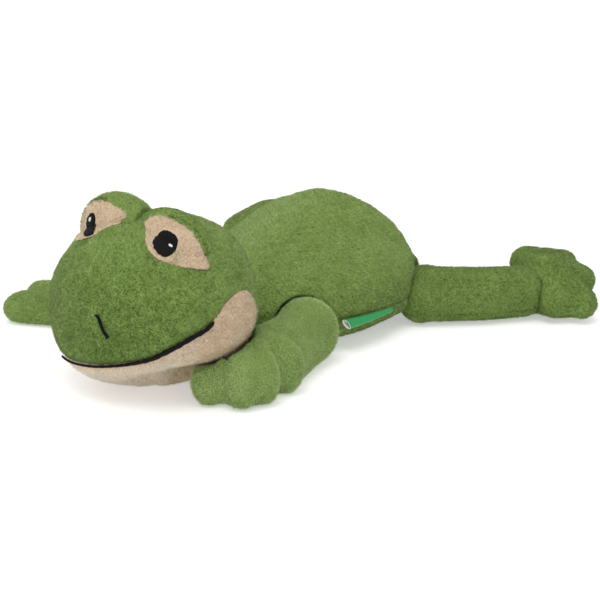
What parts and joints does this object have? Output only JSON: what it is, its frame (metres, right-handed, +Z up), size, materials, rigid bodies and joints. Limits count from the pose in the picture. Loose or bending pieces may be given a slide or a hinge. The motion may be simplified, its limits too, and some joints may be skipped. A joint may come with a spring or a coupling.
{
  "type": "plush frog",
  "caption": "Soft plush frog lying on its belly, with raised eyes, a beige jaw, two arms, two stretched hind legs and a satin loop label in its side seam.",
  "frame": {"origin": "on the floor under the belly, on the frog's middle plane", "axes": "+Z up, -Y the way the face points, +X the frog's left side"},
  "size_m": [0.358, 0.3884, 0.1236],
  "materials": {
    "green_plush": "short pile plush",
    "beige_plush": "short pile plush",
    "wadding": "loose fibre",
    "black_thread": "satin stitch",
    "white_thread": "satin stitch",
    "green_satin": "satin"
  },
  "bodies": {
    "torso": {"torso_back_panel": "green_plush", "torso_belly_panel": "green_plush", "torso_filling": "wadding", "side_label": "green_satin"},
    "head": {"head_crown_panel": "green_plush", "head_jaw_panel": "beige_plush", "head_filling": "wadding", "mouth_stitch": "black_thread", "nose_stitch": "black_thread", "eye_dome_left": "green_plush", "eye_patch_left": "beige_plush", "pupil_left": "black_thread", "eye_glint_left": "white_thread", "eye_dome_right": "green_plush", "eye_patch_right": "beige_plush", "pupil_right": "black_thread", "eye_glint_right": "white_thread"},
    "arm_left": {"arm_skin_left": "green_plush", "arm_filling_left": "wadding"},
    "leg_left": {"leg_skin_left": "green_plush", "leg_filling_left": "wadding"},
    "foot_left": {"foot_skin_left": "green_plush", "foot_filling_left": "wadding"},
    "arm_right": {"arm_skin_right": "green_plush", "arm_filling_right": "wadding"},
    "leg_right": {"leg_skin_right": "green_plush", "leg_filling_right": "wadding"},
    "foot_right": {"foot_skin_right": "green_plush", "foot_filling_right": "wadding"}
  },
  "joints": [
    {"name": "neck_nod", "type": "hinge", "parent": "torso", "child": "head", "pos_m": [0, -0.135, 0.056], "axis": [1, 0, 0], "range_deg": [-10, 20]},
    {"name": "shoulder_left", "type": "hinge", "parent": "torso", "child": "arm_left", "pos_m": [0.068, -0.057, 0.0205], "axis": [0, 0, 1], "range_deg": [0, 35]},
    {"name": "shoulder_right", "type": "hinge", "parent": "torso", "child": "arm_right", "pos_m": [-0.068, -0.057, 0.0205], "axis": [0, 0, 1], "range_deg": [-15, 25]},
    {"name": "hip_left", "type": "hinge", "parent": "torso", "child": "leg_left", "pos_m": [0.07, 0.078, 0.022], "axis": [0, 0, 1], "range_deg": [-15, 12]},
    {"name": "hip_right", "type": "hinge", "parent": "torso", "child": "leg_right", "pos_m": [-0.07, 0.078, 0.022], "axis": [0, 0, 1], "range_deg": [-12, 15]},
    {"name": "ankle_left", "type": "hinge", "parent": "leg_left", "child": "foot_left", "pos_m": [0.12851, 0.13256, 0.018], "axis": [0, 0, 1], "range_deg": [-20, 20]},
    {"name": "ankle_right", "type": "hinge", "parent": "leg_right", "child": "foot_right", "pos_m": [-0.12142, 0.13928, 0.018], "axis": [0, 0, 1], "range_deg": [-20, 20]}
  ]
}
